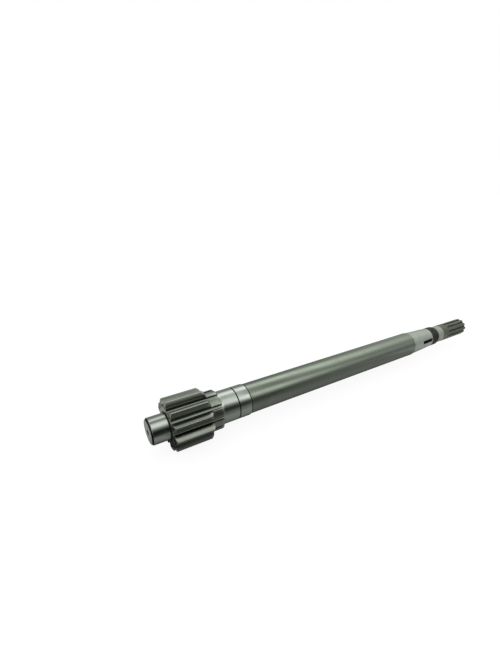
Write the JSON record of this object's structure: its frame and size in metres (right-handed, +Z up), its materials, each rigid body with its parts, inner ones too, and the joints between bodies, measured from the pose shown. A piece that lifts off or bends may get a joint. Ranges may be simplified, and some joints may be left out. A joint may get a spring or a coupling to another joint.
{
  "type": "axle shaft",
  "caption": "Long steel axle shaft with an integral spur pinion and spigot at one end, and a tapered key seat, thread and splines at the other.",
  "frame": {"origin": "centre of the end face beside the pinion, on the shaft's axis", "axes": "+X along the shaft's axis towards the splined end, +Z up with one tooth pointing straight up, so the shaft lies on the two teeth beside the lowest tooth space"},
  "size_m": [0.6588, 0.0694, 0.0687],
  "materials": {
    "steel": "ground and satin machined steel"
  },
  "bodies": {
    "root": {"axle_shaft": "steel"}
  },
  "joints": []
}
